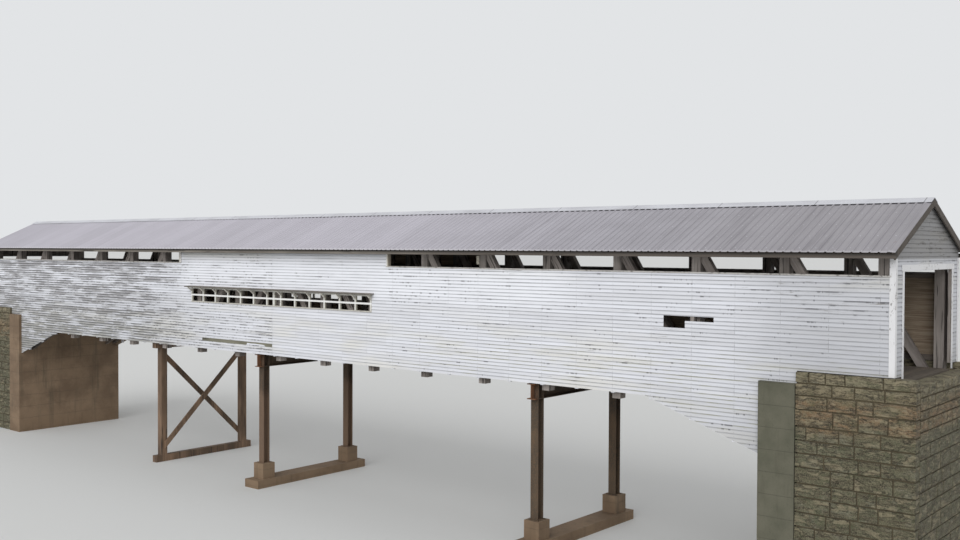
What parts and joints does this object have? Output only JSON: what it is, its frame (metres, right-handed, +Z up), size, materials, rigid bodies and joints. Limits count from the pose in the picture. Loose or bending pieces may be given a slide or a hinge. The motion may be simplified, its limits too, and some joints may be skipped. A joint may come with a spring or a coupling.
{
  "type": "covered_bridge_scale_model",
  "caption": "1:2 scale model of a white clapboard covered bridge on kingpost trusses with arch ribs, with stone abutments, steel pile bents and a ribbed metal roof",
  "frame": {"origin": "middle of the bridge at the level of the foot of its deepest footing", "axes": "X along the bridge, Y across it, Z up"},
  "size_m": [25, 3.192, 5.6296],
  "materials": {
    "sandstone": "squared sandstone blocks, weathered brown and tan",
    "concrete": "cast concrete, beige grey",
    "rusty_steel": "rusted rolled steel",
    "frame_timber": "weathered sawn timber, dark grey brown",
    "deck_plank": "worn sawn planks",
    "white_board": "white painted clapboards, peeling and grimed",
    "white_trim": "off-white painted trim, weathered",
    "grey_board": "bare weathered board",
    "roof_metal": "ribbed metal roofing, grey, dull",
    "ridge_metal": "folded metal ridge cap, light grey"
  },
  "bodies": {
    "root": {"deck": "deck_plank", "far_bottom_chord": "frame_timber", "far_braces": "frame_timber", "far_inner_arch_rib": "frame_timber", "far_left_siding": "white_board", "far_middle_siding": "white_board", "far_outer_arch_rib": "frame_timber", "far_posts": "frame_timber", "far_right_siding": "white_board", "far_roof_sheet": "roof_metal", "far_top_chord": "frame_timber", "far_window_frame": "white_trim", "far_window_hood": "white_trim", "fascia_boards": "grey_board", "floor_beams": "frame_timber", "hood_brackets": "white_trim", "joists": "frame_timber", "left_abutment": "sandstone", "left_bearing_block": "concrete", "left_portal": "white_board", "near_bottom_chord": "frame_timber", "near_braces": "frame_timber", "near_inner_arch_rib": "frame_timber", "near_left_siding": "white_board", "near_middle_siding": "white_board", "near_outer_arch_rib": "frame_timber", "near_posts": "frame_timber", "near_right_siding": "white_board", "near_roof_sheet": "roof_metal", "near_top_chord": "frame_timber", "near_window_frame": "white_trim", "near_window_hood": "white_trim", "rafters": "frame_timber", "rake_boards": "grey_board", "ridge_cap": "ridge_metal", "right_abutment": "sandstone", "right_bearing_block": "concrete", "right_portal": "white_board", "roof_laths": "frame_timber", "side_rails": "frame_timber", "siding_nailers": "frame_timber", "steel_bent_caps": "rusty_steel", "steel_bent_footings": "concrete", "steel_bent_pads": "rusty_steel", "steel_bent_piles": "rusty_steel", "tie_beams": "frame_timber", "timber_bent_braces": "frame_timber", "timber_bent_cap": "frame_timber", "timber_bent_posts": "frame_timber", "timber_bent_sill": "frame_timber", "vent_casings": "white_board", "vent_sills": "white_board"}
  },
  "joints": []
}
